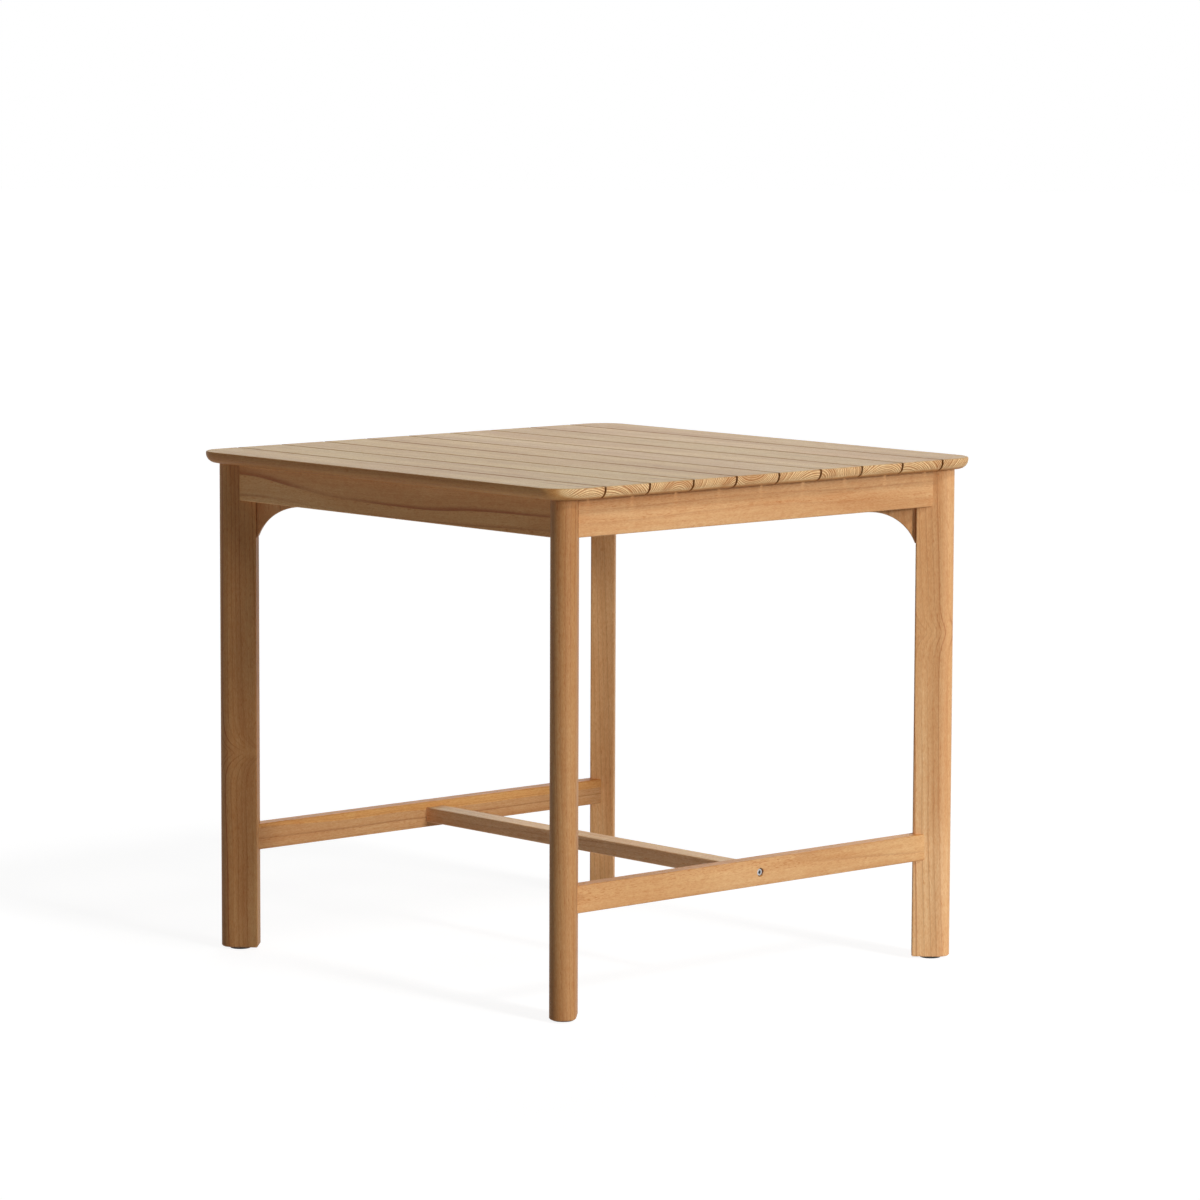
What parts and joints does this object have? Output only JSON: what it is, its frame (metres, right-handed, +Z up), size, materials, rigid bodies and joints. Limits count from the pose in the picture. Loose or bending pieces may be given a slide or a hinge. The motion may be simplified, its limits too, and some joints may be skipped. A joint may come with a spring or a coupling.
{
  "type": "outdoor counter-height table",
  "caption": "Square free-standing garden table: slatted top with rounded corners, diagonal legs, coved knee blocks and a low H of stretchers.",
  "frame": {"origin": "on the floor under the middle of the top", "axes": "+Z up, X along the slats, Y across the slats, front edge at -Y"},
  "size_m": [1, 1, 0.907],
  "materials": {
    "teak_top": "sanded, unfinished",
    "teak_frame": "sanded, unfinished",
    "teak_inner": "planed, unfinished",
    "zinc_steel": "bright zinc plated",
    "brass": "turned",
    "dark_plastic": "matt"
  },
  "bodies": {
    "root": {"slat_01": "teak_top", "slat_02": "teak_top", "slat_03": "teak_top", "slat_04": "teak_top", "slat_05": "teak_top", "slat_06": "teak_top", "slat_07": "teak_top", "slat_08": "teak_top", "slat_09": "teak_top", "slat_10": "teak_top", "apron_front": "teak_frame", "apron_back": "teak_frame", "apron_left": "teak_frame", "apron_right": "teak_frame", "leg_front_left": "teak_frame", "leg_front_right": "teak_frame", "leg_back_right": "teak_frame", "leg_back_left": "teak_frame", "knee_front_left": "teak_frame", "knee_front_right": "teak_frame", "knee_back_right": "teak_frame", "knee_back_left": "teak_frame", "corner_brace_front_left": "teak_inner", "corner_brace_front_right": "teak_inner", "corner_brace_back_right": "teak_inner", "corner_brace_back_left": "teak_inner", "ledger_front": "teak_inner", "ledger_back": "teak_inner", "ledger_left": "teak_inner", "ledger_right": "teak_inner", "centre_batten": "teak_inner", "side_stretcher_left": "teak_frame", "side_stretcher_right": "teak_frame", "middle_stretcher": "teak_frame", "glide_front_left": "dark_plastic", "glide_front_right": "dark_plastic", "glide_back_right": "dark_plastic", "glide_back_left": "dark_plastic", "leg_bolts": "zinc_steel", "leg_bolt_washers": "zinc_steel", "leg_inserts": "brass", "stretcher_bolts": "zinc_steel", "stretcher_barrel_nuts": "brass", "stretcher_dowels": "teak_inner", "slat_screws": "zinc_steel", "ledger_screws": "zinc_steel", "brace_screws": "zinc_steel", "glide_nails": "zinc_steel"}
  },
  "joints": []
}
